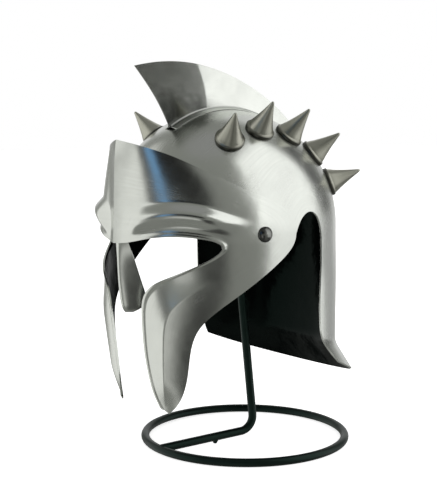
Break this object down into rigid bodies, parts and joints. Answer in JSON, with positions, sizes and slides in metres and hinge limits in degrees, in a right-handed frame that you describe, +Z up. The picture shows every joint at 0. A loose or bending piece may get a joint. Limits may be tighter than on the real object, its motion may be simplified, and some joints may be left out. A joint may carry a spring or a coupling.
{
  "type": "gladiator helmet on wire display stand",
  "caption": "Polished steel gladiator helmet with crest fin, conical studs, riveted face plate and flared neck guard, resting on a black wire display stand.",
  "frame": {"origin": "on the table, under the middle of the helmet and stand's box", "axes": "+Z up, -Y the way the face looks, +X the wearer's left"},
  "size_m": [0.2044, 0.2577, 0.3654],
  "materials": {
    "shell_steel": "satin polish outside, black paint inside",
    "fin_steel": "brushed along its length",
    "stud_steel": "dull pewter-grey polish",
    "rivet_steel": "satin polish",
    "stand_black": "satin black"
  },
  "bodies": {
    "root": {"skull": "shell_steel", "face_guard": "shell_steel", "nasal": "shell_steel", "crest_fin": "fin_steel", "stud_left_1": "stud_steel", "stud_left_2": "stud_steel", "stud_left_3": "stud_steel", "stud_left_4": "stud_steel", "stud_left_5": "stud_steel", "stud_right_1": "stud_steel", "stud_right_2": "stud_steel", "stud_right_3": "stud_steel", "stud_right_4": "stud_steel", "stud_right_5": "stud_steel", "rivet_left": "rivet_steel", "rivet_right": "rivet_steel", "display_stand": "stand_black"}
  },
  "joints": []
}
